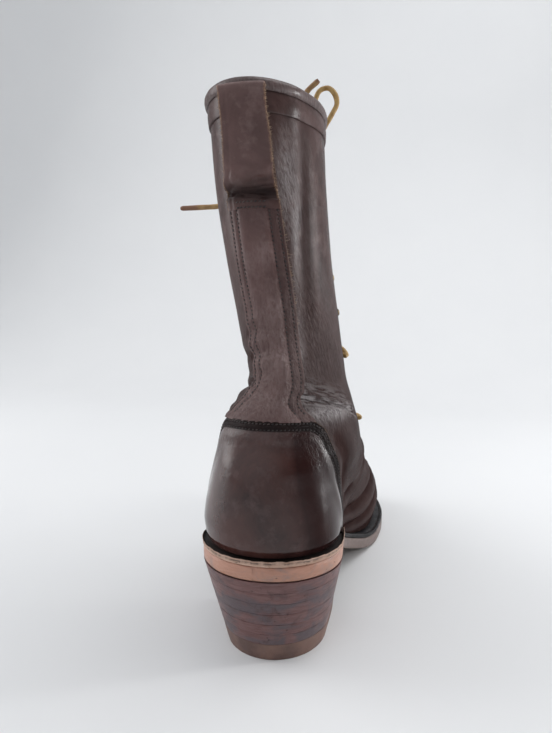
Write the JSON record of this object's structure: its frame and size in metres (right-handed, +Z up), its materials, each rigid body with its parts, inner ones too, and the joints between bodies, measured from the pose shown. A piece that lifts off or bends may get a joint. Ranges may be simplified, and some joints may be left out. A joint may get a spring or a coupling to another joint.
{
  "type": "roper boot",
  "caption": "Left lace-up leather boot with a tall shaft, heel counter, back stay, pull strap, speed hooks, leather sole and a stacked undershot heel.",
  "frame": {"origin": "middle of the heel's tread, on the floor", "axes": "+Z up along the shaft, +Y from heel to toe, +X towards the inner side of the left foot"},
  "size_m": [0.1456, 0.3075, 0.3537],
  "materials": {
    "shaft_leather": "waxed dark brown leather, satin",
    "counter_leather": "polished dark brown leather, semi-gloss",
    "strap_leather": "brown leather with raw tan edges",
    "lining_leather": "unfinished tan leather",
    "rand_leather": "raw tan leather edge",
    "sole_leather": "dyed tan sole leather",
    "welt_leather": "dark waxed leather",
    "stack_leather": "stacked leather, dyed red brown",
    "cap_rubber": "brown rubber, matt",
    "rawhide": "round golden tan rawhide",
    "eyelet_brass": "darkened brass"
  },
  "bodies": {
    "root": {"upper": "shaft_leather", "counter": "counter_leather", "back_stay": "shaft_leather", "collar_band": "shaft_leather", "collar_binding": "shaft_leather", "pull_strap": "strap_leather", "tongue": "shaft_leather", "insole": "lining_leather", "heel_rand": "rand_leather", "welt": "welt_leather", "outsole": "sole_leather", "heel_lift_1": "stack_leather", "heel_lift_2": "stack_leather", "heel_lift_3": "stack_leather", "heel_lift_4": "stack_leather", "heel_lift_5": "stack_leather", "heel_lift_6": "stack_leather", "heel_top_lift": "cap_rubber", "eyelet_inner_1": "eyelet_brass", "eyelet_inner_2": "eyelet_brass", "eyelet_inner_3": "eyelet_brass", "eyelet_inner_4": "eyelet_brass", "eyelet_inner_5": "eyelet_brass", "eyelet_outer_1": "eyelet_brass", "eyelet_outer_2": "eyelet_brass", "eyelet_outer_3": "eyelet_brass", "eyelet_outer_4": "eyelet_brass", "eyelet_outer_5": "eyelet_brass", "hook_inner_1": "eyelet_brass", "hook_inner_2": "eyelet_brass", "hook_inner_3": "eyelet_brass", "hook_inner_4": "eyelet_brass", "hook_inner_5": "eyelet_brass", "hook_outer_1": "eyelet_brass", "hook_outer_2": "eyelet_brass", "hook_outer_3": "eyelet_brass", "hook_outer_4": "eyelet_brass", "hook_outer_5": "eyelet_brass", "lace": "rawhide", "lace_knot": "rawhide", "lace_loop_right": "rawhide", "lace_loop_left": "rawhide", "lace_end_right": "rawhide", "lace_end_left": "rawhide"}
  },
  "joints": []
}
